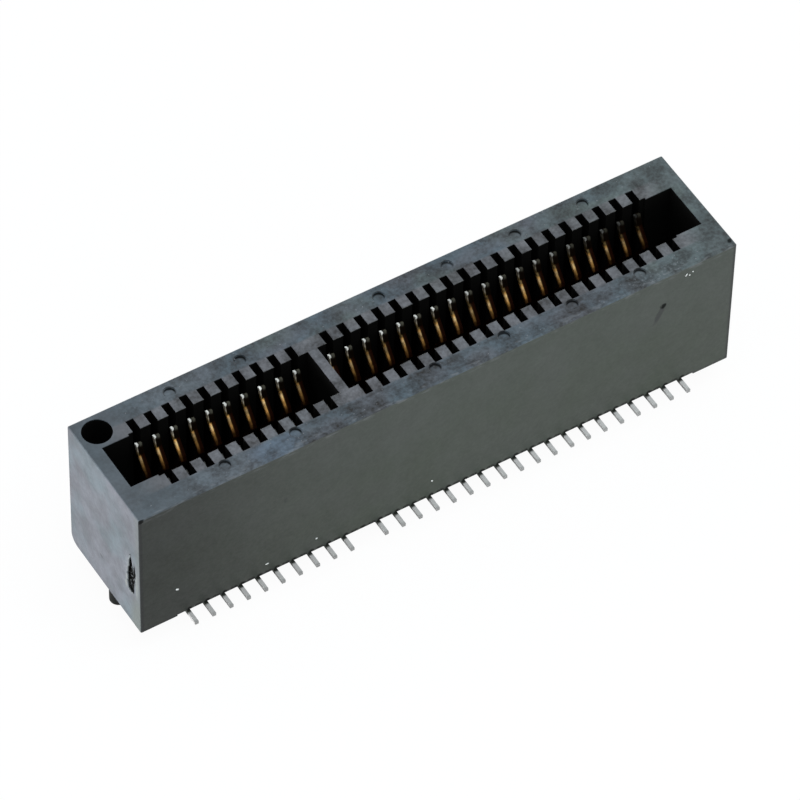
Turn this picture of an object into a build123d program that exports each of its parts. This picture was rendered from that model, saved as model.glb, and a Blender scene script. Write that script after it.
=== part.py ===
"""Card edge connector for a printed board: a moulded housing and two rows of sprung contacts.

Millimetres. X runs along the rows, +Y points to the side with the position 1 hole, +Z points up.
The origin lies on the board's surface, midway between the two locating pegs.
"""
import os

from build123d import *

# Rows of contacts
pitch = 1.0
positions = 30
key_position = 11

# Housing, outside
body_width = 6.93
body_height = 8.865
end_wall = 0.77
board_gap = 0.32
foot_length = 2.08
underside_relief = 0.155
front_foot_round = 0.08
back_foot_round = 0.65
edge_break = 0.05

# Card slot
pocket_length = 1.52
pocket_gap = 2.83
comb_gap = 3.06
floor_thickness = 2.2
key_width = 0.52

# Contact cavities
cavity_width = 0.44
cavity_reach = 2.27

# Hole that marks position 1
mark_hole_diameter = 1.57
mark_hole_depth = 3.0
mark_hole_end_inset = 1.08
mark_hole_side_inset = 1.04

# Round marks of the mould's ejector pins on the top face
ejector_diameter = 0.66
ejector_depth = 0.05
ejector_step = 4
ejector_count = 7
ejector_offset = 0.1
ejector_back_inset = 0.67
ejector_front_inset = 0.92

# Scar of the mould's gate on one end
gate_width = 0.62
gate_height = 2.95
gate_depth = 0.14
gate_bulge = 0.12
gate_base = 2.4
gate_side_inset = 0.88

# Locating pegs
peg_diameter = 0.95
peg_length = 1.14
peg_inset = 0.69
peg_chamfer = 0.08

# Contact strip, with its spring's bends given along the face that meets the card
strip_thickness = 0.2
strip_width = 0.34
tail_width = 0.2
tail_reach = 0.68
tail_bend = 0.24
shank_foot = 0.25
barb_height = 0.35
barb_depth = 0.3
root_height = 0.82
crown_gap = 0.8
crown_depth = 2.5
crown_bow = 0.1
crown_height = 0.56
ramp_gap = 2.15
ramp_depth = 1.5
tip_gap = 2.58
tip_depth = 0.81

# Sizes that follow
row_length = positions * pitch
slot_length = row_length + 2 * pocket_length
body_length = slot_length + 2 * end_wall
relief_height = board_gap + underside_relief
floor_height = relief_height + floor_thickness
top_height = board_gap + body_height
slot_depth = top_height - floor_height
first_x = -(positions - 1) * pitch / 2
key_x = first_x + (key_position - 1) * pitch
peg_x = body_length / 2 - peg_inset
contact_numbers = [number for number in range(1, positions + 1) if number != key_position]


def position_x(number):
    """Gives the place of a position along the row."""
    return first_x + (number - 1) * pitch


# Housing
cavity_places = [(position_x(number), 0) for number in contact_numbers]
ejector_spread = (ejector_count - 1) / 2
ejector_places = [
    ejector_offset + (index - ejector_spread) * ejector_step * pitch for index in range(ejector_count)
]
open_ejector_places = [x for x in ejector_places if abs(x - key_x) > pitch]

with BuildPart() as housing:
    # Block with rounded feet
    with BuildSketch(Plane.YZ) as end_outline:
        with Locations((0, board_gap + body_height / 2)):
            Rectangle(body_width, body_height)
        fillet(end_outline.vertices().group_by(Axis.Y)[0].sort_by(Axis.X)[0], front_foot_round)
        fillet(end_outline.vertices().group_by(Axis.Y)[0].sort_by(Axis.X)[-1], back_foot_round)
    extrude(amount=body_length / 2, both=True)
    end_edges = housing.faces().sort_by(Axis.X)[0].edges() + housing.faces().sort_by(Axis.X)[-1].edges()
    top_edges = housing.faces().sort_by(Axis.Z)[-1].edges().filter_by(Axis.X)
    chamfer(end_edges + top_edges, edge_break)

    # Relief between the two foot pads
    with BuildSketch(Plane.XY.offset(relief_height)):
        Rectangle(body_length - 2 * foot_length, body_width)
    extrude(amount=-underside_relief, mode=Mode.SUBTRACT)

    # Card slot, wider along the comb than in its end pockets
    with BuildSketch(Plane.XY.offset(top_height)):
        Rectangle(slot_length, pocket_gap)
        Rectangle(row_length, comb_gap)
    extrude(amount=-slot_depth, mode=Mode.SUBTRACT)

    # Contact cavities
    with BuildSketch(Plane.XY.offset(top_height)):
        with Locations(*cavity_places):
            Rectangle(cavity_width, 2 * cavity_reach)
    extrude(amount=-slot_depth, mode=Mode.SUBTRACT)

    # Slots through the floor that hold the shanks
    with BuildSketch(Plane.XY.offset(floor_height)):
        for side in (-1, 1):
            with Locations(*[(x, side * (cavity_reach - strip_thickness / 2)) for x, _ in cavity_places]):
                Rectangle(cavity_width, strip_thickness)
    extrude(amount=-floor_thickness, mode=Mode.SUBTRACT)

    # Key bar across the slot
    with BuildSketch(Plane.XY.offset(floor_height)):
        with Locations((key_x, 0)):
            Rectangle(key_width, comb_gap)
    extrude(amount=slot_depth)

    # Hole that marks position 1
    with BuildSketch(Plane.XY.offset(top_height)):
        with Locations((mark_hole_end_inset - body_length / 2, body_width / 2 - mark_hole_side_inset)):
            Circle(mark_hole_diameter / 2)
    extrude(amount=-mark_hole_depth, mode=Mode.SUBTRACT)

    # Ejector marks
    with BuildSketch(Plane.XY.offset(top_height)):
        with Locations(*[(x, body_width / 2 - ejector_back_inset) for x in open_ejector_places]):
            Circle(ejector_diameter / 2)
        with Locations(*[(x, ejector_front_inset - body_width / 2) for x in open_ejector_places]):
            Circle(ejector_diameter / 2)
    extrude(amount=-ejector_depth, mode=Mode.SUBTRACT)

    # Gate scar, pointed at its top and round at its foot
    with BuildSketch(Plane.YZ.offset(-body_length / 2)):
        gate_y = gate_side_inset - body_width / 2
        gate_low = board_gap + gate_base
        gate_tip = (gate_y, gate_low + gate_height)
        gate_left = (gate_y - gate_width / 2, gate_low + gate_width / 2)
        gate_right = (gate_y + gate_width / 2, gate_low + gate_width / 2)
        with BuildLine():
            SagittaArc(gate_left, gate_tip, gate_bulge)
            SagittaArc(gate_tip, gate_right, gate_bulge)
            ThreePointArc(gate_right, (gate_y, gate_low), gate_left)
        make_face()
    extrude(amount=gate_depth, mode=Mode.SUBTRACT)

    # Locating pegs
    with BuildSketch(Plane.XY.offset(board_gap)):
        with Locations((-peg_x, 0), (peg_x, 0)):
            Circle(peg_diameter / 2)
    extrude(amount=-(board_gap + peg_length))
    chamfer(housing.edges().group_by(Axis.Z)[0], peg_chamfer)

housing.part.label = "housing"

# Contact of the back row, drawn at the middle of the row
shank_low = relief_height + shank_foot
barb_top = floor_height - barb_depth
barb_reach = (cavity_width - strip_width) / 2
tail_tip_y = body_width / 2 + tail_reach

with BuildPart() as contact:
    # Shank and spring: up through the floor, in to the crown, out again as the lead-in ramp, and up to the tip
    with BuildSketch(Plane.YZ):
        with BuildLine():
            Polyline(
                (cavity_reach - strip_thickness, shank_low),
                (cavity_reach - strip_thickness, floor_height + root_height),
                (crown_gap / 2 + crown_bow, top_height - crown_depth - crown_height / 2),
                (crown_gap / 2, top_height - crown_depth),
                (crown_gap / 2 + crown_bow, top_height - crown_depth + crown_height / 2),
                (ramp_gap / 2, top_height - ramp_depth),
                (tip_gap / 2, top_height - tip_depth),
            )
            offset(amount=strip_thickness, side=Side.RIGHT, kind=Kind.TANGENT)
        make_face()
    extrude(amount=strip_width / 2, both=True)

    # Barbs that bear on the sides of the slot in the floor
    with BuildSketch(Plane.XZ.offset(-cavity_reach)):
        for side in (-1, 1):
            with BuildLine():
                Polyline(
                    (side * strip_width / 2, barb_top - barb_height),
                    (side * strip_width / 2, barb_top),
                    (side * (strip_width / 2 + barb_reach), barb_top),
                    close=True,
                )
            make_face()
    extrude(amount=strip_thickness)

    # Tail: down from the shank and out under the wall as the solder foot
    with BuildSketch(Plane.YZ):
        with BuildLine():
            Polyline(
                (cavity_reach, shank_low),
                (cavity_reach, strip_thickness + tail_bend),
                (cavity_reach + tail_bend, strip_thickness),
                (tail_tip_y, strip_thickness),
            )
            offset(amount=strip_thickness, side=Side.RIGHT, kind=Kind.TANGENT)
        make_face()
    extrude(amount=tail_width / 2, both=True)

contact.part.label = "contact"

# Contacts of both rows in their places
os.makedirs("parts", exist_ok=True)
export_step(housing.part, "parts/housing.step")

for row_name, turn in (("back", 0), ("front", 180)):
    for number in contact_numbers:
        with BuildPart() as seated_contact:
            with Locations(Location((position_x(number), 0, 0), (0, 0, turn))):
                add(contact.part)
        seated_contact.part.label = f"contact_{row_name}_{number:02d}"
        export_step(seated_contact.part, f"parts/{seated_contact.part.label}.step")
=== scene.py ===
"""Card edge connector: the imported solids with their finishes, mould marks, light and camera.

Blender objects are in metres in the part's own frame. Sizes in this file are in millimetres
unless a name says otherwise, and MM turns them into metres.
"""

from __future__ import annotations

import logging
import math
from dataclasses import dataclass, field
from enum import Enum
from typing import Any, Iterable, Sequence, Union

import bpy
from mathutils import Matrix, Vector


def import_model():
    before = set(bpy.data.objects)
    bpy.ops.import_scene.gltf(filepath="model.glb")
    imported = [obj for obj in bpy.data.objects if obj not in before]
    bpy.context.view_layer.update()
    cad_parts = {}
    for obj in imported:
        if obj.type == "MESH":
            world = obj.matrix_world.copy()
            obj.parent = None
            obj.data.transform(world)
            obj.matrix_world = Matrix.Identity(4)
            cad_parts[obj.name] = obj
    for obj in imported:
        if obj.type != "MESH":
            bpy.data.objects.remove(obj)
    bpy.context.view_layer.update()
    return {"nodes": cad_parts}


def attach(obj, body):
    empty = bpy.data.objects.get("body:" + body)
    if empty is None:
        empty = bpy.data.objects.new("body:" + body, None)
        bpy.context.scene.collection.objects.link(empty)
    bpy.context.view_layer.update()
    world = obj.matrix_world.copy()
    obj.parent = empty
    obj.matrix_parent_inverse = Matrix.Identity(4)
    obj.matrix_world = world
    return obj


MM = 0.001
BODY = "root"
LOG = logging.getLogger("card_edge_connector")

Span = tuple[float, float]
Colour = tuple[float, float, float]
Point = tuple[float, float, float]
Term = Union["Signal", float]


class Slot(Enum):
    """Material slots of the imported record."""

    PLASTIC = "housing_plastic"
    METAL = "contact_metal"


class Row(Enum):
    """The two rows of contacts, each with the side of the slot it stands on."""

    BACK = 1
    FRONT = -1


@dataclass(frozen=True)
class Oval:
    """A soft oval patch on a face: its middle, its half sizes and its turn in degrees."""

    centre: Span
    half: Span
    turn: float = 0.0


def rgba(colour: Colour) -> tuple[float, float, float, float]:
    """Returns a colour with full opacity added."""
    return (*colour, 1.0)


@dataclass(frozen=True)
class Signal:
    """A node's output that can be used in Python expressions, which add their nodes to its graph."""

    graph: Graph
    socket: bpy.types.NodeSocket

    def _math(self, operation: str, *terms: Term) -> Signal:
        """Adds one Math node.

        Args:
            operation: The node's operation.
            terms: Its inputs in order.

        Returns:
            The node's result.
        """
        return self.graph.node("ShaderNodeMath", {"operation": operation}, dict(enumerate(terms)))

    def __add__(self, other: Term) -> Signal:
        """Returns self + other."""
        return self._math("ADD", self, other)

    def __radd__(self, other: Term) -> Signal:
        """Returns other + self."""
        return self._math("ADD", other, self)

    def __sub__(self, other: Term) -> Signal:
        """Returns self - other."""
        return self._math("SUBTRACT", self, other)

    def __rsub__(self, other: Term) -> Signal:
        """Returns other - self."""
        return self._math("SUBTRACT", other, self)

    def __mul__(self, other: Term) -> Signal:
        """Returns self * other."""
        return self._math("MULTIPLY", self, other)

    def __rmul__(self, other: Term) -> Signal:
        """Returns other * self."""
        return self._math("MULTIPLY", other, self)

    def __truediv__(self, other: Term) -> Signal:
        """Returns self / other."""
        return self._math("DIVIDE", self, other)

    def __abs__(self) -> Signal:
        """Returns the size of the signal without its sign."""
        return self._math("ABSOLUTE", self)

    def hypotenuse(self, other: Signal) -> Signal:
        """Returns the length that the two span at right angles."""
        return self._math("SQRT", self * self + other * other)

    def larger(self, other: Term) -> Signal:
        """Returns the larger of the two."""
        return self._math("MAXIMUM", self, other)

    def smaller(self, other: Term) -> Signal:
        """Returns the smaller of the two."""
        return self._math("MINIMUM", self, other)

    def whole(self) -> Signal:
        """Returns the next whole number below."""
        return self._math("FLOOR", self)

    def folded(self, period: float) -> Signal:
        """Returns the offset from the nearest whole multiple of a period."""
        return self - self._math("SNAP", self + period / 2, period)

    def step(self, start: float, end: float) -> Signal:
        """Makes a soft step.

        Args:
            start: Value where the step is 0.
            end: Value where the step is 1, which may be the smaller one.

        Returns:
            A number from 0 to 1.
        """
        low, high = sorted((start, end))
        ends = (0.0, 1.0) if start <= end else (1.0, 0.0)
        return self.graph.node(
            "ShaderNodeMapRange",
            {"interpolation_type": "SMOOTHSTEP"},
            {"Value": self, "From Min": low, "From Max": high, "To Min": ends[0], "To Max": ends[1]},
        )

    def contrast(self, half: float = 0.2) -> Signal:
        """Stretches noise about 0.5 to the whole of 0 to 1."""
        return self.step(0.5 - half, 0.5 + half)

    def within(self, limit: float) -> Signal:
        """Returns 1 up to just past a limit and 0 beyond."""
        return self.step(limit + 0.04, limit + 0.02)


class Graph:
    """Builds a node tree from expressions."""

    def __init__(self, tree: bpy.types.NodeTree) -> None:
        """Keeps the tree.

        Args:
            tree: Shader or geometry tree to fill.
        """
        self.tree = tree

    def node(
        self,
        kind: str,
        settings: dict[str, Any] | None = None,
        inputs: dict[str | int, Any] | None = None,
        output: str | int = 0,
    ) -> Signal:
        """Adds any node.

        Args:
            kind: Type of the node.
            settings: Properties set before its inputs; stops fills a colour ramp.
            inputs: Values or signals by socket name or place.
            output: Name or place of the output to return.

        Returns:
            The chosen output, or the first input of a node that has no outputs.
        """
        made = self.tree.nodes.new(kind)
        for name, value in (settings or {}).items():
            if name == "stops":
                self._fill_ramp(made.color_ramp, value)
            else:
                setattr(made, name, value)
        for key, value in (inputs or {}).items():
            socket = made.inputs[key]
            if isinstance(value, Signal):
                self.tree.links.new(value.socket, socket)
            else:
                socket.default_value = value
        return Signal(self, made.outputs[output] if made.outputs else made.inputs[0])

    @staticmethod
    def _fill_ramp(ramp: bpy.types.ColorRamp, stops: Sequence[tuple[float, Colour]]) -> None:
        """Sets a colour ramp's stops.

        Args:
            ramp: Ramp to set.
            stops: Places from 0 to 1 with their colours.
        """
        while len(ramp.elements) < len(stops):
            ramp.elements.new(0.5)
        for element, (place, colour) in zip(ramp.elements, stops):
            element.position = place
            element.color = rgba(colour)

    def blend(self, factor: Term, first: Signal | Colour, second: Signal | Colour) -> Signal:
        """Mixes two colours.

        Args:
            factor: 0 gives the first, 1 the second.
            first: Colour at 0.
            second: Colour at 1.

        Returns:
            The mixed colour.
        """
        ends = [end if isinstance(end, Signal) else rgba(end) for end in (first, second)]
        values = {0: factor, 6: ends[0], 7: ends[1]}
        return self.node("ShaderNodeMix", {"data_type": "RGBA"}, values, 2)

    def laid_on(self, colour: Signal, layers: Iterable[tuple[Signal, Colour]]) -> Signal:
        """Lays tints over a colour.

        Args:
            colour: Colour underneath.
            layers: Masks with their tints, the lowest first.

        Returns:
            The colour with all of them on it.
        """
        for mask, tint in layers:
            colour = self.blend(mask, colour, tint)
        return colour

    def layered(self, factor: Signal, first: Signal, second: Signal) -> Signal:
        """Returns the first shader where the factor is 0 and the second where it is 1."""
        return self.node("ShaderNodeMixShader", {}, {0: factor, 1: first, 2: second})

    def scaled(self, vector: Signal, factor: Term) -> Signal:
        """Returns a vector or a colour times a number."""
        values = {0: vector, "Scale": factor}
        return self.node("ShaderNodeVectorMath", {"operation": "SCALE"}, values)

    def stretched(self, vector: Signal, factors: Point) -> Signal:
        """Returns a vector times a number on each axis."""
        values = {0: vector, 1: factors}
        return self.node("ShaderNodeVectorMath", {"operation": "MULTIPLY"}, values)

    def noise(
        self, vector: Signal, scale: float, detail: float = 2.0, roughness: float = 0.5
    ) -> Signal:
        """Makes soft noise.

        Args:
            vector: Place in millimetres.
            scale: Waves to the millimetre.
            detail: Octaves.
            roughness: Strength of the finer octaves.

        Returns:
            A number about 0.5.
        """
        values = {"Vector": vector, "Scale": scale, "Detail": detail, "Roughness": roughness}
        return self.node("ShaderNodeTexNoise", {}, values)


class Surface(Graph):
    """The node tree of one material, with the place on the object in millimetres."""

    def __init__(self, name: str) -> None:
        """Makes an empty material.

        Args:
            name: Name of the material.
        """
        self.material = bpy.data.materials.new(name)
        self.material.use_nodes = True
        super().__init__(self.material.node_tree)
        self.tree.nodes.clear()
        self.place = self.scaled(self.node("ShaderNodeTexCoord", output="Object"), 1 / MM)
        split = self.node("ShaderNodeSeparateXYZ", {}, {0: self.place}).socket.node
        self.x, self.y, self.z = (Signal(self, output) for output in split.outputs)

    def patch(self, across: Signal, along: Signal, oval: Oval) -> Signal:
        """Makes a soft oval patch on a face.

        Args:
            across: First coordinate in the face.
            along: Second coordinate in the face.
            oval: Place, size and turn of the patch.

        Returns:
            1 in the middle, 0 from the rim outwards.
        """
        turn = math.radians(oval.turn)
        cosine, sine = math.cos(turn), math.sin(turn)
        away, up = across - oval.centre[0], along - oval.centre[1]
        first = (away * cosine + up * sine) / oval.half[0]
        second = (up * cosine - away * sine) / oval.half[1]
        return first.hypotenuse(second).step(1.0, 0.45)

    def bump(self, height: Signal, strength: float) -> Signal:
        """Turns a height in millimetres into a normal."""
        values = {"Height": height, "Strength": strength, "Distance": MM}
        return self.node("ShaderNodeBump", {}, values)

    def principled(self, **inputs: Any) -> Signal:
        """Adds one Principled shader.

        Args:
            inputs: Values or signals of the shader's sockets, with underscores for spaces.

        Returns:
            The shader.
        """
        values = {name.replace("_", " "): value for name, value in inputs.items()}
        return self.node("ShaderNodeBsdfPrincipled", {}, values)

    def finish(self, shader: Signal) -> bpy.types.Material:
        """Ends the tree in a shader.

        Args:
            shader: Shader of the whole surface.

        Returns:
            The material.
        """
        self.node("ShaderNodeOutputMaterial", {}, {"Surface": shader})
        return self.material


@dataclass(frozen=True)
class Form:
    """Sizes of the connector that the finishes and the marks follow."""

    pitch: float = 1.0
    positions: int = 30
    key_position: int = 11
    body_length: float = 34.58
    body_width: float = 6.93
    top: float = 9.185
    foot: float = 0.32
    slot_length: float = 33.04
    cavity_reach: float = 2.27
    cavity_width: float = 0.44
    comb_gap: float = 3.06
    mark_hole_place: Span = (-16.21, 2.425)
    mark_hole_radius: float = 0.785
    ejector_radius: float = 0.33
    ejector_step: float = 4.0
    ejector_offset: float = 0.1
    ejector_count: int = 7
    ejector_back_y: float = 2.795
    ejector_front_y: float = -2.545
    gate_y: float = -2.585
    gate_low: float = 2.72
    gate_height: float = 2.95
    gate_width: float = 0.62
    gate_bulge: float = 0.12
    tip_depth: float = 0.81
    tip_y: float = 1.29
    bend_depth: float = 1.5
    bend_y: float = 1.075
    ramp_slope: float = 0.312
    spring_slope: float = 0.8
    peg_low: float = -1.14

    @property
    def key_x(self) -> float:
        """Returns the place of the key bar along the row."""
        return (self.key_position - 1 - (self.positions - 1) / 2) * self.pitch

    @property
    def end_x(self) -> float:
        """Returns the place of the end with the gate scar."""
        return -self.body_length / 2

    @property
    def front_y(self) -> float:
        """Returns the place of the front face."""
        return -self.body_width / 2

    def ejector_places(self) -> list[Point]:
        """Lists the ejector marks, which leave out the place beside the key.

        Returns:
            Their middles on the top face.
        """
        middle = (self.ejector_count - 1) / 2
        steps = range(self.ejector_count)
        along = [self.ejector_offset + (k - middle) * self.ejector_step for k in steps]
        clear = [x for x in along if abs(x - self.key_x) > self.pitch]
        rows = (self.ejector_back_y, self.ejector_front_y)
        return [(x, y, self.top) for y in rows for x in clear]


@dataclass
class MouldedPlastic(Surface):
    """Dark glass-filled plastic with mould marks and handling wear, and with painted light on its ends
    and the top and painted shade in its hollows, on its pegs, along its sides and in its marks.

    A skin holds the depths under a face at which its mask is 0 and 1. A span holds the places at
    which something starts and is full. Ovals lie in x and y on the top, in x and z on the front and
    in y and z on the left end. Those of the gate count from the foot of its scar, and those of the
    contacts' roots from the middle of a contact and the foot of the housing.
    """

    form: Form
    top_cool: Colour = (0.049, 0.069, 0.085)
    top_warm: Colour = (0.062, 0.07, 0.083)
    top_green: Colour = (0.062, 0.08, 0.08)
    top_left: Colour = (0.066, 0.081, 0.094)
    # Tint of the patch of painted light on the top.
    top_blue: Colour = (0.053, 0.073, 0.1)
    tooth: Colour = (0.096, 0.095, 0.103)
    side: Colour = (0.05, 0.064, 0.0515)
    side_low: Colour = (0.048, 0.0645, 0.045)
    side_grey: Colour = (0.054, 0.0615, 0.056)
    # The ends' colours are painted light: lighter than the top's and the sides' as if lit from the
    # left.
    end_cool: Colour = (0.092, 0.116, 0.131)
    end_warm: Colour = (0.105, 0.111, 0.128)
    end_grey: Colour = (0.104, 0.117, 0.106)
    pale: Colour = (0.22, 0.235, 0.21)
    worn: Colour = (0.2, 0.21, 0.225)
    # Dark colour of marks, and of the painted shade beside the front's vertical edges.
    pit: Colour = (0.006, 0.008, 0.01)
    # Near black for the painted shade in the hollows, on the pegs and over the front's left, for the
    # painted shadows in the ejector marks and at the contacts' roots, and for the dark gate scar and
    # nicks.
    black: Colour = (0.003, 0.003, 0.0028)
    roughness: float = 0.5
    top_skin: Span = (0.1, 0.07)
    front_skin: Span = (0.06, 0.02)
    left_skin: Span = (0.3, 0.25)
    end_skin: Span = (0.04, 0.01)
    pit_skin: Span = (0.03, 0.08)
    # Reach of the painted shade on the front beside the ends' vertical edges.
    edge_shade_skin: Span = (0.24, 0.12)
    side_tone: Span = (2.0, 8.5)
    # Spans of the painted shade on the long sides, up from the foot and along from the left.
    side_lift: Span = (1.0, 8.5)
    side_light: Span = (-20.5, 2.0)
    # Span of the painted shade over the left of the front.
    front_shade_span: Span = (-8.0, -18.0)
    back_green: Span = (0.0, 2.0)
    middle_green: Span = (0.0, 12.0)
    right_green: Span = (9.0, 15.0)
    left_tone: Span = (-5.0, -14.0)
    left_calm: Span = (-12.5, -15.5)
    comb_end: Span = (16.5, 15.0)
    # Spans of the band of painted shade along the front of the top.
    shade_band_start: Span = (-8.4, -7.6)
    shade_band_end: Span = (2.2, -0.2)
    shade_band_rest: Span = (-9.0, -4.0)
    corner_grey: Span = (-2.8, -3.4)
    # Patch of painted light on the front of the top.
    lit_patch: Oval = Oval((-9.2, -2.8), (1.9, 1.3))
    rubbed: Oval = Oval((13.0, -3.05), (2.2, 0.45))
    right_nick: Oval = Oval((17.11, -3.07), (0.2, 0.16), 35.0)
    left_nick: Oval = Oval((-17.17, 9.085), (0.3, 0.24))
    scuff: Oval = Oval((12.82, 6.5), (0.24, 0.95), -24.0)
    bruise: Oval = Oval((13.02, 6.98), (0.22, 0.25), -24.0)
    spot: Oval = Oval((-9.0, 5.55), (0.16, 0.22))
    grey_corner: Oval = Oval((-3.5, 0.8), (1.3, 2.8))
    smudge: Oval = Oval((0.36, 2.35), (0.2, 0.16))
    gate_halo: Oval = Oval((0.1, 1.4), (0.62, 1.9))
    gate_near_rim: Oval = Oval((-0.55, 1.0), (0.15, 1.3))
    gate_far_rim: Oval = Oval((0.42, 0.5), (0.2, 0.85), 12.0)
    gate_scar: Oval = Oval((0.0, 1.475), (0.868, 2.2125))
    gate_torn: Oval = Oval((-0.34, 1.675), (0.14, 1.05))
    root_shadow: Oval = Oval((0.0, 0.17), (0.24, 0.26))
    gap_shadow: Oval = Oval((0.42, 0.2), (0.2, 0.2))
    # Shift of the painted shadow crescent in each ejector mark.
    crescent_shift: Span = (0.085, 0.14)

    def __post_init__(self) -> None:
        """Starts the tree with its noises, the masks of the faces and the way to an ejector mark."""
        super().__init__("moulded_plastic")
        form = self.form
        self.blotch = self.noise(self.place, 0.9, 3.0, 0.55)
        self.cloud = self.blotch.contrast()
        self.grain = self.noise(self.place, 5.0, 3.0, 0.6)
        self.hue = self.noise(self.place, 0.42, 2.0).contrast(0.14)
        self.beyond_end = form.body_length / 2 - abs(self.x)
        self.top = (form.top - self.z).step(*self.top_skin)
        self.front = (self.y - form.front_y).step(*self.front_skin)
        self.left = (self.x - form.end_x).step(*self.left_skin)
        back = self.y.step(-0.01, 0.01)
        row_y = back * form.ejector_back_y + (1.0 - back) * form.ejector_front_y
        self.along = (self.x - form.ejector_offset).folded(form.ejector_step)
        self.away = self.y - row_y

    def build(self) -> bpy.types.Material:
        """Makes the finish.

        Returns:
            The finished material.
        """
        outer = self.principled(
            Base_Color=self.laid_on(self._coat(), self._marks_and_shade()),
            Roughness=self.roughness + (self.grain - 0.5) * 0.3,
            Normal=self.bump(self.blotch * 0.02 + self.grain * 0.012, 0.6),
            Specular_IOR_Level=0.4,
        )
        # The second shader is the near-black one of the painted shade and shadows, and of the dark
        # gate scar and nicks.
        inner = self.principled(Base_Color=rgba(self.black), Roughness=0.9, Specular_IOR_Level=0.03)
        return self.finish(self.layered(self._hollow_shade().larger(self._dark_marks_and_shade()), outer, inner))

    def _coat(self) -> Signal:
        """Returns the colour of each face, with its painted light and shade, before any mark."""
        colour = self.blend(self.top, self._side_coat(), self._top_coat())
        return self.blend(self.beyond_end.step(*self.end_skin), colour, self._end_coat())

    def _side_coat(self) -> Signal:
        """Makes the colour of the long sides, with painted shade that darkens them towards the left
        end and the foot.

        Returns:
            The colour.
        """
        drift = self.noise(self.place, 0.28, 2.0).contrast(0.18)
        colour = self.blend(self.z.step(*self.side_tone), self.side_low, self.side)
        colour = self.blend(drift * 0.5, colour, self.side_grey)
        # Painted shade: the sides darken towards the left end and the foot.
        light = 0.2 + self.x.step(*self.side_light) * 0.44 + self.z.step(*self.side_lift) * 0.13
        return self.scaled(colour, light + self.cloud * 0.1 + drift * 0.1)

    def _top_coat(self) -> Signal:
        """Makes the colour of the top: mottled and calmer at its left end, with streaked painted shade
        along its front, a band of painted shade over the middle of that strip and a patch of painted
        light near its left.

        Returns:
            The colour.
        """
        reach = self.form.cavity_reach
        left = self.x.step(*self.left_tone)
        moss = self.noise(self.place, 0.3, 2.0).step(0.42, 0.62) * (1.0 - left)
        moss = moss * self.y.step(*self.back_green).larger(self.x.step(*self.middle_green))
        teeth = abs(self.y).step(reach + 0.1, reach - 0.1) * abs(self.x).step(*self.comb_end)
        strip = self.y.step(-reach, -reach - 0.2)
        # Painted light: a brighter, bluer patch on the front of the top.
        lit_patch = strip * self.patch(self.x, self.y, self.lit_patch)
        layers = (
            (moss.larger(self.x.step(*self.right_green) * 0.75), self.top_green),
            (left * 0.7, self.top_left),
            (teeth * 0.75, self.tooth),
            (lit_patch * 0.7, self.top_blue),
        )
        colour = self.laid_on(self.blend(self.hue, self.top_cool, self.top_warm), layers)
        drawn_out = self.stretched(self.place, (0.35, 1.6, 1.0))
        streaks = self.noise(drawn_out, 1.7, 3.0, 0.65).contrast()
        # Painted shade: a band over the middle of the front strip of the top.
        shade_band = self.x.step(*self.shade_band_start) * self.x.step(*self.shade_band_end) * 0.18
        shade_band = shade_band + self.x.step(*self.shade_band_rest) * 0.06
        shade = 0.2 + self.cloud * 0.98 + self.grain.contrast() * 0.62
        # Painted shade: the front strip of the top is darker, in streaks, and the patch of painted
        # light brightens it.
        shade = shade + strip * (streaks * 0.5 - 0.32 - shade_band) + lit_patch * 0.34
        calm = self.x.step(*self.left_calm) * 0.6
        return self.scaled(colour, shade * (1.0 - calm) + calm * 1.08)

    def _end_coat(self) -> Signal:
        """Makes the colour of the ends, painted lighter than the top and the sides as if lit from the
        left, greyer at their near lower corner.

        Returns:
            The colour.
        """
        # Painted light: the ends are coloured lighter than the top and the sides.
        lit_end = self.blend(self.hue, self.end_cool, self.end_warm)
        corner = self.patch(self.y, self.z, self.grey_corner)
        corner = corner.larger(self.y.step(*self.corner_grey) * 0.6)
        return self.blend(corner * 0.8, self.scaled(lit_end, 0.79 + self.cloud * 0.42), self.end_grey)

    def _marks_and_shade(self) -> list[tuple[Signal, Colour]]:
        """Lists the marks, and the painted shade beside the front's vertical edges, over the plain
        colour, each a mask with its colour.

        Returns:
            The marks in the order in which they are laid on.
        """
        form, grain = self.form, self.grain
        rag = (grain - 0.5) * 0.8
        gate_y, gate_z = self.y - form.gate_y, self.z - form.gate_low
        halo = self.patch(gate_y + rag, gate_z, self.gate_halo)
        near_rim = self.patch(gate_y + rag * 0.4, gate_z, self.gate_near_rim)
        far_rim = self.patch(gate_y + rag * 0.4, gate_z, self.gate_far_rim)
        smudge = self.patch(self.y + rag * 0.3, self.z, self.smudge)
        rubbed = self.patch(self.x + rag * 2.0, self.y + rag * 0.3, self.rubbed) * grain.step(0.5, 0.7)
        scuff = self.patch(self.x + rag * 0.25, self.z, self.scuff)
        spot = self.patch(self.x, self.z + rag, self.spot)
        # Painted shade on the front beside the ends' vertical edges.
        edge = self.beyond_end.step(*self.edge_shade_skin)
        sill = (self.z - form.foot).step(0.4, 0.1) * grain.step(0.56, 0.44)
        return [
            (self._edge_wear() * 0.4, self.worn),
            (self._ejector_halo() * self.top * 0.06, self.worn),
            (rubbed * self.top * 0.45, self.worn),
            (halo * self.left * 0.45, self.worn),
            (far_rim.larger(near_rim * 0.7) * self.left * 0.6, self.pale),
            (smudge * self.left * 0.5, self.pit),
            # Painted shade on the front beside the ends' vertical edges.
            (self.front * edge * 0.7, self.pit),
            (self.front * sill * 0.8, self.pit),
            (self.front * scuff * 0.7, self.pit),
            (self.front * spot * 0.35, self.pit),
        ]

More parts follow.
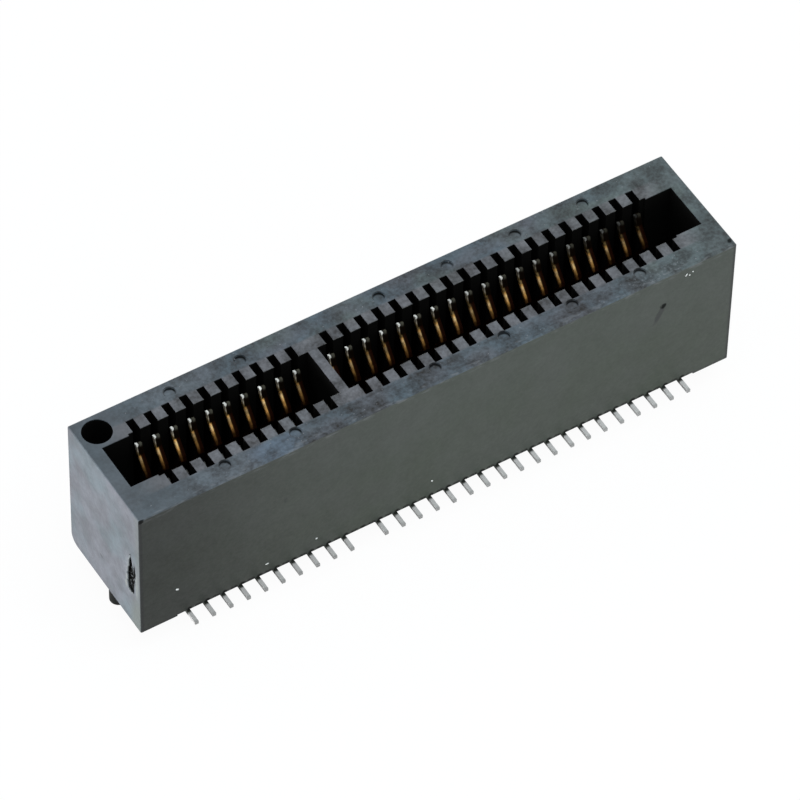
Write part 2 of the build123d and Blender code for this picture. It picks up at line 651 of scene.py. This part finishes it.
    def _dark_marks_and_shade(self) -> Signal:
        """Masks what is black or mixed with black on the outside.

        These are the gate scar and the nicks, the painted shade on the pegs and over the left of the
        front, and the painted shadows of the ejector crescents and at the contacts' roots.

        Returns:
            The mask.
        """
        rag = (self.grain - 0.5) * 0.3
        bruise = self.patch(self.x + rag, self.z, self.bruise)
        left_nick = self.patch(self.x + rag, self.z, self.left_nick)
        right_nick = self.patch(self.x + rag, self.y, self.right_nick)
        nicks = (self.front * bruise.larger(left_nick)).larger(self.top * right_nick) * 0.85
        # Painted shade on the pegs below the housing's foot.
        pegs = (self.form.foot - self.z).step(0.02, 0.12) * 0.75
        # Painted shade over the left of the front.
        front_shade = self.front * self.x.step(*self.front_shade_span) * 0.26
        deep = self._gate_pit(rag).larger(nicks).larger(pegs).larger(front_shade)
        deep = deep.larger(self.front * self._root_shadows(rag) * 0.8)
        return deep.larger(self.top * self._ejector_crescent_shadow())

    def _gate_pit(self, rag: Signal) -> Signal:
        """Masks the pit of the gate scar and the torn stretch beside it.

        Args:
            rag: Offset that frays the outline.

        Returns:
            The mask.
        """
        gate_y, gate_z = self.y - self.form.gate_y, self.z - self.form.gate_low
        sunk = (self.x - self.form.end_x).step(*self.pit_skin)
        scar = self.patch(gate_y, gate_z, self.gate_scar) * sunk
        torn = self.patch(gate_y + rag, gate_z + rag, self.gate_torn)
        return self.left * scar.larger(torn) * self.grain.step(0.36, 0.46)

    def _root_shadows(self, rag: Signal) -> Signal:
        """Masks the dark spots over and between the contacts' feet.

        Args:
            rag: Offset that frays the outlines.

        Returns:
            The mask.
        """
        form = self.form
        root = (self.x - form.pitch / 2).folded(form.pitch) + rag * 0.5
        height = self.z - form.foot + rag * 0.4
        over = self.patch(root, height, self.root_shadow)
        between = self.patch(abs(root), height, self.gap_shadow) * 0.7
        return over.larger(between) * abs(self.x).step(form.positions / 2, form.positions / 2 - 0.3)

    def _hollow_shade(self) -> Signal:
        """Masks the insides of the slot, the cavities and the position 1 hole, which are painted near
        black as shade.

        Returns:
            The mask.
        """
        form = self.form
        hole_x, hole_y = form.mark_hole_place
        below = (form.top - self.z).step(0.01, 0.07)
        slot = abs(self.y).within(form.cavity_reach) * abs(self.x).within(form.slot_length / 2)
        hole = (self.x - hole_x).hypotenuse(self.y - hole_y).within(form.mark_hole_radius)
        return below * slot.larger(hole)

    def _ejector_halo(self) -> Signal:
        """Masks the faint pale ring round each ejector mark.

        Returns:
            The mask.
        """
        radius = self.along.hypotenuse(self.away)
        ring = radius.step(0.6, 0.75) * radius.step(0.95, 0.8)
        return ring * self.noise(self.place, 1.3).step(0.45, 0.62)

    def _ejector_crescent_shadow(self) -> Signal:
        """Masks the painted shadow in each ejector mark, a crescent: its disc without a disc shifted
        to one side.

        Returns:
            The mask.
        """
        left, low = self.crescent_shift
        disc = self.along.hypotenuse(self.away).step(0.325, 0.27)
        shifted = (self.along + left).hypotenuse(self.away + low) + (self.grain - 0.5) * 0.12
        present = abs(self.x - self.form.key_x).step(1.2, 1.6) * abs(self.x).step(13.5, 13.2)
        strength = self.noise(self.place, 0.35).step(0.2, 0.5) * 0.35 + 0.6
        return disc * shifted.step(0.25, 0.35) * present * strength

    def _edge_wear(self) -> Signal:
        """Masks the rubbed corner between the top and the front.

        Returns:
            The mask.
        """
        corner = (self.y - self.form.front_y) + (self.form.top - self.z)
        streaks = self.noise(self.stretched(self.place, (0.8, 3.0, 3.0)), 1.6, 3.0, 0.6)
        return corner.step(0.45, 0.1) * streaks.step(0.5, 0.7)


@dataclass
class SpringMetal(Surface):
    """Copper alloy strip: gold ramp, bronze spring and matte tin foot, with painted light on its left
    side, a painted glint on its tip, and painted shade on its right side, deep in the slot, on the
    front row and where the foot leaves the housing.

    The lights are the places along the row at which a part of the painted light starts to show and is
    at its brightest.
    """

    form: Form
    # Painted glint on the tip.
    tip_glint: Colour = (1.0, 0.98, 0.92)
    # This and the next colour are painted light on the left side below the glint.
    silver: Colour = (0.3, 0.26, 0.2)
    bright_silver: Colour = (0.62, 0.53, 0.4)
    # Painted shade where the tip bends into the ramp.
    waist: Colour = (0.2, 0.13, 0.05)
    # Painted highlight on the gold ramp.
    core: Colour = (1.0, 0.66, 0.3)
    gold: Colour = (0.78, 0.4, 0.11)
    bronze: Colour = (0.2, 0.09, 0.025)
    # Painted shade, reddish brown, deep in the slot and on the right side.
    deep_shade: Colour = (0.014, 0.0035, 0.001)
    # Painted shade on the right side near the tip, and random dark tarnish over the strip.
    tarnish_and_shade: Colour = (0.004, 0.002, 0.001)
    # Painted light: a dim patch on the end of the tip.
    dim: Colour = (0.095, 0.09, 0.07)
    tin: Colour = (0.52, 0.5, 0.485)
    bright_tin: Colour = (0.64, 0.62, 0.605)
    # Painted shade on the foot under the housing.
    tail_root_shade: Colour = (0.045, 0.05, 0.042)
    # Spans along the row of the painted light on the tip, the ramp, the tip's end and the foot.
    tip_light: Span = (16.5, -2.0)
    ramp_light: Span = (16.5, 11.0)
    cap_light: Span = (24.0, 0.0)
    tin_light: Span = (-14.0, 12.0)
    late_gold: Span = (-8.0, 8.0)
    depth_span: float = 4.0

    def __post_init__(self) -> None:
        """Starts the tree with the places on a contact."""
        super().__init__("spring_metal")
        form = self.form
        self.depth = form.top - self.z
        self.back = self.y.step(-0.1, 0.1)
        self.high = self.depth.step(1.46, 1.4)
        self.across = (self.x - form.pitch / 2).folded(form.pitch) * (self.back * 2.0 - 1.0)
        values = {"W": self.x.whole()}
        self.each = self.node("ShaderNodeTexWhiteNoise", {"noise_dimensions": "1D"}, values)

    def build(self) -> bpy.types.Material:
        """Makes the finish.

        Returns:
            The finished material.
        """
        form = self.form
        sooty = self.noise(self.place, 4.0, 2.0).step(0.55, 0.8) * 0.5
        strip = self.blend(sooty, self._strip(), self.tarnish_and_shade)
        foot = self.z.step(0.5, 0.4)
        ramp = self.depth.step(form.bend_depth - 0.02, form.bend_depth + 0.1)
        edge = (abs(self.across) - 0.05).larger(0.0)
        crowned = edge * edge * (-5.0) * ramp * (1.0 - foot)
        shader = self.principled(
            Base_Color=self.blend(foot, strip, self._tin()),
            Metallic=(1.0 - foot) * ramp * 0.2,
            Specular_IOR_Level=0.1,
            Roughness=0.3 + foot * 0.3 + self.each * 0.08,
            Normal=self.bump(crowned, 1.0),
        )
        return self.finish(shader)

    def _tin(self) -> Signal:
        """Makes the colour of the solder foot: painted shade where it leaves the housing, painted
        light that grows along the row to the right, and darker at its outer end.

        Returns:
            The colour.
        """
        reach = abs(self.y) + self.form.front_y
        # Painted light: the feet get lighter along the row to the right.
        lit = self.blend(self.x.step(*self.tin_light), self.tin, self.bright_tin)
        # Painted shade where the foot runs under the housing.
        root_shaded = self.blend(reach.step(0.06, -0.08), lit, self.tail_root_shade)
        return self.scaled(root_shaded, 0.7 + reach.step(0.68, 0.5) * 0.3)

    def _strip(self) -> Signal:
        """Makes the colour of the sprung part: painted light on its left side and painted shade on its
        right side, with a patch of painted light on the end of the tip.

        Returns:
            The colour.
        """
        tip, depth, across, high = self.form.tip_depth, self.depth, self.across, self.high
        behind = abs(self.y) - self._face_y()
        # Painted light: a dim patch on the end of the tip, beside the glint.
        cap = depth.step(tip + 0.24, tip + 0.04) * behind.step(0.19, 0.1)
        cap = cap * across.step(-0.04, 0.04) * across.step(0.17, 0.12)
        shown = cap * self._far() * self.x.step(*self.cap_light)
        dark = self.blend(shown, self.blend(high, self.deep_shade, self.tarnish_and_shade), self.dim)
        ramp_side = across.step(-0.01, -0.08) * behind.step(0.26, 0.04)
        tip_side = (across - depth.step(tip + 0.16, tip + 0.06) * 0.07).step(-0.1, -0.16)
        side = ramp_side * (1.0 - high) + tip_side * high
        return self.blend(side, dark, self._lit_side())

    def _lit_side(self) -> Signal:
        """Makes the painted light of the left side, from a painted glint on the tip down the gold ramp
        with its painted highlight into painted shade deep in the slot, fading along the row to the
        right.

        Returns:
            The colour.
        """
        tip, high = self.form.tip_depth, self.high
        tip_stops = [
            (tip + 0.09, self.tip_glint),
            (tip + 0.15, self.silver),
            (tip + 0.25, self.silver),
            (tip + 0.34, self.bright_silver),
            (tip + 0.5, self.waist),
            (tip + 0.6, self.waist),
        ]
        ramp_stops = [
            (1.42, self.waist),
            (1.5, self.gold),
            (1.62, self.core),
            (1.9, self.gold),
            (2.15, self.bronze),
            (2.5, self.deep_shade),
        ]
        ramp = self._along(self.depth - self.x.step(*self.late_gold) * 0.17, ramp_stops)
        colour = self.blend(high, ramp, self._along(self.depth, tip_stops))
        patchy = self.noise(self.place, 2.4, 2.0).contrast()
        mottled = ((0.45 + self.each * 0.5) * (0.6 + patchy * 1.3)).larger(high)
        tip_share = high * self.x.step(*self.tip_light) * self._far()
        ramp_share = (1.0 - high) * self.x.step(*self.ramp_light)
        return self.scaled(colour, mottled * (tip_share + ramp_share))

    def _far(self) -> Signal:
        """Returns 1 on the back row and almost 0 on the front row, whose painted light is taken away
        as it stands in the dark.
        """
        return self.back * 0.95 + 0.05

    def _face_y(self) -> Signal:
        """Finds the face of the strip that meets the card.

        Returns:
            How far from the middle of the slot the face stands at this depth.
        """
        form = self.form
        ramp = form.tip_y - (self.depth - form.tip_depth) * form.ramp_slope
        spring = form.bend_y - (self.depth - form.bend_depth) * form.spring_slope
        return ramp.smaller(spring)

    def _along(self, depth: Signal, stops: Sequence[tuple[float, Colour]]) -> Signal:
        """Returns a colour ramp down the strip, with its stops given by depth."""
        shares = [(place / self.depth_span, tint) for place, tint in stops]
        return self.node("ShaderNodeValToRGB", {"stops": shares}, {0: depth / self.depth_span})


@dataclass(frozen=True)
class PlainFinish:
    """A small piece's finish: one colour, softly mottled."""

    name: str
    dark: Colour
    light: Colour
    roughness: float = 0.5
    scale: float = 6.0

    def material(self) -> bpy.types.Material:
        """Makes the finish.

        Returns:
            The finished material.
        """
        s = Surface(self.name)
        mottle = s.noise(s.place, self.scale, 3.0)
        colour = s.blend(mottle.contrast(0.15), self.dark, self.light)
        bump = s.bump(mottle * 0.02, 0.5)
        return s.finish(s.principled(Base_Color=colour, Roughness=self.roughness, Normal=bump))


@dataclass(frozen=True)
class Scatter:
    """How scattered lumps vary in scale and turn, with the seeds of the two draws."""

    smallest: Point
    largest: Point
    turn_low: Point
    turn_high: Point
    scale_seed: int
    turn_seed: int


class Grower(Graph):
    """A geometry tree that turns guide points, lines or faces into one plain mesh."""

    slot: Slot = Slot.PLASTIC

    def __init__(self, name: str, sizes: dict[str, float | int], finish: PlainFinish) -> None:
        """Starts the tree with its named inputs.

        Args:
            name: Name of the finished piece.
            sizes: Named inputs with their values; whole numbers give integer inputs.
            finish: Finish of the piece.
        """
        super().__init__(bpy.data.node_groups.new(name, "GeometryNodeTree"))
        self.name = name
        self.sizes = sizes
        self.material = finish.material()
        face = self.tree.interface
        face.new_socket("Geometry", in_out="INPUT", socket_type="NodeSocketGeometry")
        self.identifiers: dict[str, str] = {}
        for label, value in sizes.items():
            kind = "NodeSocketInt" if isinstance(value, int) else "NodeSocketFloat"
            socket = face.new_socket(label, in_out="INPUT", socket_type=kind)
            self.identifiers[label] = socket.identifier
        face.new_socket("Geometry", in_out="OUTPUT", socket_type="NodeSocketGeometry")
        entry = self.tree.nodes.new("NodeGroupInput")
        self.guide = Signal(self, entry.outputs["Geometry"])
        self.size = {label: Signal(self, entry.outputs[label]) for label in sizes}

    def guide_points(self) -> Signal:
        """Returns the guide's corners as points."""
        return self.node("GeometryNodeMeshToPoints", {}, {"Mesh": self.guide})

    def guide_lines(self, spacing: Signal) -> Signal:
        """Returns the guide's lines, divided evenly."""
        lines = self.node("GeometryNodeMeshToCurve", {}, {"Mesh": self.guide})
        values = {"Curve": lines, "Length": spacing}
        return self.node("GeometryNodeResampleCurve", {"mode": "LENGTH"}, values)

    def ball(self, radius: Signal, subdivisions: int) -> Signal:
        """Returns a small ball of triangles."""
        values = {"Radius": radius, "Subdivisions": subdivisions}
        return self.node("GeometryNodeMeshIcoSphere", {}, values)

    def tube(self, lines: Signal, radius: Signal, sides: int) -> Signal:
        """Sweeps a round section along lines and closes its ends.

        Args:
            lines: Curves to follow.
            radius: Radius of the section.
            sides: Corners of the section.

        Returns:
            The mesh.
        """
        values = {"Resolution": sides, "Radius": radius}
        section = self.node("GeometryNodeCurvePrimitiveCircle", {}, values)
        values = {"Curve": lines, "Profile Curve": section, "Fill Caps": True}
        return self.node("GeometryNodeCurveToMesh", {}, values)

    def place_on(self, points: Signal, shape: Signal, scatter: Scatter | None = None) -> Signal:
        """Puts a shape on each point.

        Args:
            points: Points to stand on.
            shape: Mesh to repeat.
            scatter: How the copies vary, if they do.

        Returns:
            The instances.
        """
        values: dict[str | int, Any] = {"Points": points, "Instance": shape}
        if scatter:
            values["Scale"] = self._draw(scatter.smallest, scatter.largest, scatter.scale_seed)
            values["Rotation"] = self._draw(scatter.turn_low, scatter.turn_high, scatter.turn_seed)
        return self.node("GeometryNodeInstanceOnPoints", {}, values)

    def _draw(self, low: Point, high: Point, seed: int) -> Signal:
        """Returns random vectors between two ends with a fixed seed."""
        values = {0: low, 1: high, "Seed": seed}
        return self.node("FunctionNodeRandomValue", {"data_type": "FLOAT_VECTOR"}, values)

    def grow(self, guide: bpy.types.Mesh, result: Signal) -> bpy.types.Object:
        """Ends the tree, evaluates it on a guide mesh and keeps a plain mesh.

        Args:
            guide: Mesh that carries the guide points, lines or faces.
            result: Geometry to keep.

        Returns:
            The finished piece, riding on the body.
        """
        whole = self.node("GeometryNodeRealizeInstances", {}, {"Geometry": result})
        values = {"Geometry": whole, "Material": self.material}
        dressed = self.node("GeometryNodeSetMaterial", {}, values)
        leave = self.tree.nodes.new("NodeGroupOutput")
        self.tree.links.new(dressed.socket, leave.inputs["Geometry"])
        carrier = bpy.data.objects.new(self.name + "_guide", guide)
        bpy.context.scene.collection.objects.link(carrier)
        modifier = carrier.modifiers.new("grow", "NODES")
        modifier.node_group = self.tree
        for label, value in self.sizes.items():
            modifier[self.identifiers[label]] = value
        evaluated = carrier.evaluated_get(bpy.context.evaluated_depsgraph_get())
        mesh = bpy.data.meshes.new_from_object(evaluated)
        carrier.modifiers.clear()
        bpy.data.objects.remove(carrier)
        return add_piece(self.name, mesh)


def plain_mesh(
    name: str,
    points: Iterable[Point],
    edges: Iterable[tuple[int, int]] = (),
    faces: Iterable[tuple[int, ...]] = (),
) -> bpy.types.Mesh:
    """Makes a mesh of loose points, lines or faces.

    Args:
        name: Name of the mesh.
        points: Places in millimetres.
        edges: Pairs of points joined by a line.
        faces: Loops of points that bound a face.

    Returns:
        The mesh, in metres.
    """
    mesh = bpy.data.meshes.new(name)
    places = [tuple(value * MM for value in point) for point in points]
    mesh.from_pydata(places, list(edges), list(faces))
    return mesh


def add_piece(name: str, mesh: bpy.types.Mesh) -> bpy.types.Object:
    """Adds a finished mesh as a piece that rides on the body.

    Args:
        name: Name of the piece.
        mesh: Its mesh, with its place in it.

    Returns:
        The piece.
    """
    mesh.name = name
    piece = bpy.data.objects.new(name, mesh)
    bpy.context.scene.collection.objects.link(piece)
    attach(piece, BODY)
    LOG.info("%s: %d faces", name, len(mesh.polygons))
    return piece


def dress(node: bpy.types.Object, material: bpy.types.Material) -> None:
    """Assigns a material to every slot of a CAD node.

    Args:
        node: Object of the node.
        material: Its finish.
    """
    if not node.material_slots:
        node.data.materials.append(material)
    for place in node.material_slots:
        place.material = material
    LOG.info("%s: dressed in %s", node.name, material.name)


@dataclass
class Housing:
    """The moulded housing with its ejector rims, comb flash, gate lip, dust and specks; the rims are
    near black as painted shade and the specks near white as painted glints.
    """

    form: Form
    rim_radius: float = 0.014
    rim_start: float = 40.0
    rim_sweep: float = 160.0
    rim_points: int = 28
    rim_sides: int = 6
    flash_spacing: float = 0.09
    flash_size: float = 0.026
    lip_radius: float = 0.05
    lip_spacing: float = 0.06
    lip_sway: float = 0.28
    lip_swelling: float = 2.2
    lip_sides: int = 8
    lip_blade_steps: int = 12
    lip_foot_steps: int = 10
    dust_density: float = 2.0
    dust_size: float = 0.034
    dust_seed: int = 11
    dust_side_margin: float = 0.08
    dust_end_margin: float = 0.1
    dust_hole_margin: float = 2.0
    speck_size: float = 0.085
    speck_places: tuple[Span, ...] = (
        (14.69, 8.66),
        (14.5, 8.5),
        (14.3, 8.62),
        (-10.07, 1.19),
        (-7.21, 1.36),
        (-0.47, 1.63),
        (-15.2, 2.5),
    )
    # Near-black finish of the rims: painted shade in the ejector marks.
    rim_shade_finish: PlainFinish = PlainFinish("rim_shade_plastic", (0.012, 0.014, 0.016), (0.03, 0.034, 0.038))
    flash_finish: PlainFinish = PlainFinish("flash_plastic", (0.07, 0.07, 0.066), (0.15, 0.15, 0.14))
    lip_finish: PlainFinish = PlainFinish(
        "lip_plastic", (0.12, 0.135, 0.145), (0.2, 0.21, 0.215), 0.7, 5.0
    )
    dust_finish: PlainFinish = PlainFinish("fleck_plastic", (0.1, 0.105, 0.12), (0.22, 0.225, 0.24))
    # Near-white finish of the specks: painted glints.
    speck_glint_finish: PlainFinish = PlainFinish("speck_glint_white", (0.6, 0.62, 0.6), (0.95, 0.95, 0.92))
    flash_scatter: Scatter = Scatter(
        (0.4, 0.3, 0.2), (1.4, 1.0, 0.7), (0.0, 0.0, -3.1), (0.3, 0.3, 3.1), 3, 5
    )
    dust_scatter: Scatter = Scatter(
        (0.3, 0.3, 0.1), (1.5, 0.9, 0.3), (0.0, 0.0, -3.1), (0.0, 0.0, 3.1), 13, 17
    )
    speck_scatter: Scatter = Scatter(
        (0.4, 0.3, 0.3), (1.4, 0.5, 0.9), (0.0, -3.1, 0.0), (0.0, 3.1, 0.0), 23, 29
    )

    def build(self, nodes: dict[str, bpy.types.Object]) -> None:
        """Dresses the housing and adds its mould marks.

        Args:
            nodes: CAD nodes by name.
        """
        dress(nodes["housing"], MouldedPlastic(self.form).build())
        self._ejector_rims()
        self._comb_flash()
        self._gate_lip()
        self._dust()
        self._specks()

    def _ejector_rims(self) -> None:
        """Adds the thin raised arc on the far side of each ejector mark, near black as painted shade
        in the mark.
        """
        sizes = {
            "Ring Radius": self.form.ejector_radius * MM,
            "Rim Radius": self.rim_radius * MM,
            "Arc Points": self.rim_points,
        }
        g = Grower("ejector_rims", sizes, self.rim_shade_finish)
        values = {
            "Resolution": g.size["Arc Points"],
            "Radius": g.size["Ring Radius"],
            "Start Angle": math.radians(self.rim_start),
            "Sweep Angle": math.radians(self.rim_sweep),
        }
        arc = g.node("GeometryNodeCurveArc", {"mode": "RADIUS"}, values)
        rim = g.tube(arc, g.size["Rim Radius"], self.rim_sides)
        guide = plain_mesh("ejector_places", self.form.ejector_places())
        g.grow(guide, g.place_on(g.guide_points(), rim))

    def _comb_flash(self) -> None:
        """Adds the ragged flash along the ends of the comb's teeth."""
        form = self.form
        half = (form.pitch - form.cavity_width) / 2
        points: list[Point] = []
        for side in Row:
            y = side.value * form.comb_gap / 2
            for step in range(form.positions + 1):
                x = (step - form.positions / 2) * form.pitch
                points += [(x - half, y, form.top), (x + half, y, form.top)]
        edges = [(k, k + 1) for k in range(0, len(points), 2)]
        sizes = {"Spacing": self.flash_spacing * MM, "Size": self.flash_size * MM}
        g = Grower("comb_flash", sizes, self.flash_finish)
        lines = g.guide_lines(g.size["Spacing"])
        spots = g.node("GeometryNodeCurveToPoints", {"mode": "EVALUATED"}, {"Curve": lines})
        lumps = g.place_on(spots, g.ball(g.size["Size"], 1), self.flash_scatter)
        g.grow(plain_mesh("tooth_ends", points, edges), lumps)

    def _gate_outline(self) -> list[Point]:
        """Draws the gate scar's outline from its tip down the far side and round its foot.

        Returns:
            The points of the outline on the left end.
        """
        form = self.form
        half = form.gate_width / 2
        low = form.gate_low + half
        tall = form.gate_height - half
        outline = []
        for step in range(self.lip_blade_steps + 1):
            share = step / self.lip_blade_steps
            wide = half * share + 4 * form.gate_bulge * share * (1 - share)
            outline.append((form.end_x, form.gate_y + wide, low + tall * (1 - share)))
        for step in range(1, self.lip_foot_steps - 1):
            turn = math.pi * step / self.lip_foot_steps
            y, z = form.gate_y + half * math.cos(turn), low - half * math.sin(turn)
            outline.append((form.end_x, y, z))
        return outline

    def _gate_lip(self) -> None:
        """Adds the raised, torn lip round the gate scar."""
        sizes = {
            "Spacing": self.lip_spacing * MM,
            "Lip Radius": self.lip_radius * MM,
            "Sway": self.lip_sway * MM,
            "Swelling": self.lip_swelling,
        }
        g = Grower("gate_lip", sizes, self.lip_finish)
        place = g.scaled(g.node("GeometryNodeInputPosition"), 1 / MM)
        sway = (g.noise(place, 2.6, 2.0) - 0.5) * g.size["Sway"]
        swelling = g.noise(place, 4.0, 2.0) * g.size["Swelling"]
        offset = g.node("ShaderNodeCombineXYZ", {}, {"Y": sway})
        line = g.guide_lines(g.size["Spacing"])
        swayed = g.node("GeometryNodeSetPosition", {}, {"Geometry": line, "Offset": offset})
        values = {"Curve": swayed, "Radius": swelling}
        swollen = g.node("GeometryNodeSetCurveRadius", {}, values)
        lip = g.tube(swollen, g.size["Lip Radius"], self.lip_sides)
        outline = self._gate_outline()
        edges = [(k, k + 1) for k in range(len(outline) - 1)]
        g.grow(plain_mesh("gate_outline", outline, edges), lip)

    def _dust(self) -> None:
        """Scatters small light flecks over the top face."""
        form = self.form
        inner = form.cavity_reach + self.dust_side_margin
        outer = form.body_width / 2 - self.dust_side_margin
        half = form.body_length / 2 - self.dust_end_margin
        corners: list[Point] = []
        strips = ((self.dust_hole_margin - half, inner, outer), (-half, -outer, -inner))
        for start, near, far in strips:
            corners += [(start, near, form.top), (half, near, form.top)]
            corners += [(half, far, form.top), (start, far, form.top)]
        sizes = {
            "Density": self.dust_density / MM**2,
            "Size": self.dust_size * MM,
            "Seed": self.dust_seed,
        }
        g = Grower("dust", sizes, self.dust_finish)
        values = {"Mesh": g.guide, "Density": g.size["Density"], "Seed": g.size["Seed"]}
        points = g.node("GeometryNodeDistributePointsOnFaces", {}, values)
        flecks = g.place_on(points, g.ball(g.size["Size"], 1), self.dust_scatter)
        guide = plain_mesh("top_strips", corners, (), [(0, 1, 2, 3), (4, 5, 6, 7)])
        g.grow(guide, flecks)

    def _specks(self) -> None:
        """Adds the few bright specks on the front face: tiny chips whose near-white finish makes them
        painted glints.
        """
        g = Grower("specks", {"Size": self.speck_size * MM}, self.speck_glint_finish)
        specks = g.place_on(g.guide_points(), g.ball(g.size["Size"], 2), self.speck_scatter)
        places = [(x, self.form.front_y, z) for x, z in self.speck_places]
        g.grow(plain_mesh("speck_places", places), specks)


@dataclass
class Contacts:
    """The two rows of sprung contacts."""

    form: Form

    def build(self, nodes: dict[str, bpy.types.Object]) -> None:
        """Dresses every contact.

        Args:
            nodes: CAD nodes by name.
        """
        metal = SpringMetal(self.form).build()
        for name, node in nodes.items():
            if name.startswith("contact_"):
                dress(node, metal)


@dataclass(frozen=True)
class Lamp:
    """One soft lamp that points at the connector."""

    name: str
    place: Point
    size: tuple[float, float]
    power: float
    colour: Colour

    def build(self, aim: Vector) -> None:
        """Adds the lamp.

        Args:
            aim: Point it is turned to, in metres.
        """
        light = bpy.data.lights.new(self.name, "AREA")
        light.shape = "RECTANGLE"
        light.size, light.size_y = (side * MM for side in self.size)
        light.energy = self.power
        light.color = self.colour
        lamp = bpy.data.objects.new(self.name, light)
        lamp.location = Vector(self.place) * MM
        lamp.rotation_mode = "QUATERNION"
        lamp.rotation_quaternion = (aim - lamp.location).to_track_quat("-Z", "Y")
        bpy.context.scene.collection.objects.link(lamp)


@dataclass
class Studio:
    """White paper, soft lamps and a plain sky."""

    form: Form
    paper_half: float = 900.0
    shadow_share: float = 0.07
    paper_glow: float = 1.02
    paper: Colour = (0.8, 0.8, 0.8)
    sky: Colour = (0.42, 0.44, 0.46)
    white: Colour = (1.0, 1.0, 1.0)
    lamps: list[Lamp] = field(
        default_factory=lambda: [
            Lamp("overhead_lamp", (40.0, -110.0, 430.0), (380.0, 380.0), 1.2, (0.86, 0.96, 1.0)),
            Lamp("left_lamp", (-420.0, 60.0, 22.0), (320.0, 50.0), 2.2, (0.95, 0.97, 1.0)),
            Lamp("near_lamp", (95.0, -150.0, 60.0), (60.0, 60.0), 0.04, (1.0, 1.0, 0.93)),
        ]
    )

    def build(self) -> None:
        """Adds the floor, the sky and the lamps."""
        self._floor()
        self._sky()
        for lamp in self.lamps:
            lamp.build(Vector((0.0, 0.0, self.form.top * MM / 2)))

    @staticmethod
    def _seen_as_white(graph: Graph) -> Signal:
        """Tells the rays that have to meet plain white from those that light the connector.

        Args:
            graph: Tree to add the nodes to.

        Returns:
            1 for the camera's rays and for reflected and refracted ones.
        """
        path = graph.node("ShaderNodeLightPath").socket.node
        kinds = ("Camera", "Glossy", "Transmission")
        camera, glossy, through = (Signal(graph, path.outputs[f"Is {kind} Ray"]) for kind in kinds)
        return camera.larger(glossy).larger(through)

    def _floor(self) -> None:
        """Adds the white paper that the pegs stand on."""
        half, low = self.paper_half, self.form.peg_low
        corners = [(-half, -half, low), (half, -half, low), (half, half, low), (-half, half, low)]
        mesh = plain_mesh("paper", corners, (), [(0, 1, 2, 3)])
        s = Surface("white_paper")
        matte = s.node("ShaderNodeBsdfDiffuse", {}, {"Color": rgba(self.paper)})
        values = {"Color": rgba(self.white), "Strength": self.paper_glow}
        glow = s.node("ShaderNodeEmission", {}, values)
        share = self._seen_as_white(s) * (1.0 - self.shadow_share)
        mesh.materials.append(s.finish(s.layered(share, matte, glow)))
        paper = bpy.data.objects.new("paper", mesh)
        bpy.context.scene.collection.objects.link(paper)

    def _sky(self) -> None:
        """Makes the even sky."""
        world = bpy.data.worlds.new("plain_sky")
        world.use_nodes = True
        world.node_tree.nodes.clear()
        g = Graph(world.node_tree)
        dim = g.node("ShaderNodeBackground", {}, {"Color": rgba(self.sky)})
        bright = g.node("ShaderNodeBackground", {}, {"Color": rgba(self.white)})
        mixed = g.layered(self._seen_as_white(g), dim, bright)
        g.node("ShaderNodeOutputWorld", {}, {"Surface": mixed})
        bpy.context.scene.world = world


@dataclass(frozen=True)
class PhotoCamera:
    """Camera at the place from which the connector was photographed.

    Azimuth, elevation and roll are in degrees, and the near and far clips in metres.
    """

    place: Point = (-110.9544, -172.8101, 253.0064)
    azimuth: float = -32.638
    elevation: float = 50.479
    roll: float = 1.425
    lens: float = 290.43
    sensor: float = 36.0
    near_clip: float = 0.01
    far_clip: float = 10.0

    def build(self) -> None:
        """Adds the camera and makes it the scene's own."""
        degrees = (self.azimuth, self.elevation, self.roll)
        azimuth, elevation, roll = (math.radians(angle) for angle in degrees)
        level = Vector((math.cos(azimuth), math.sin(azimuth), 0.0))
        outward = Vector((math.sin(azimuth), -math.cos(azimuth), 0.0))
        back = math.cos(elevation) * outward + math.sin(elevation) * Vector((0.0, 0.0, 1.0))
        steep = back.cross(level)
        right = math.cos(roll) * level + math.sin(roll) * steep
        up = math.cos(roll) * steep - math.sin(roll) * level
        lens = bpy.data.cameras.new("photo_camera")
        lens.lens = self.lens
        lens.sensor_width = self.sensor
        lens.clip_start, lens.clip_end = self.near_clip, self.far_clip
        camera = bpy.data.objects.new("photo_camera", lens)
        turn = Matrix((right, up, back)).transposed().to_4x4()
        camera.matrix_world = Matrix.Translation(Vector(self.place) * MM) @ turn
        bpy.context.scene.collection.objects.link(camera)
        bpy.context.scene.camera = camera


def main() -> None:
    """Builds the connector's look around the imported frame."""
    logging.basicConfig(level=logging.INFO, format="%(name)s: %(message)s")
    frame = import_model()
    bpy.context.scene.view_settings.view_transform = "Standard"
    form = Form()
    PhotoCamera().build()
    Studio(form).build()
    Housing(form).build(frame["nodes"])
    Contacts(form).build(frame["nodes"])


if __name__ == "__main__":
    main()
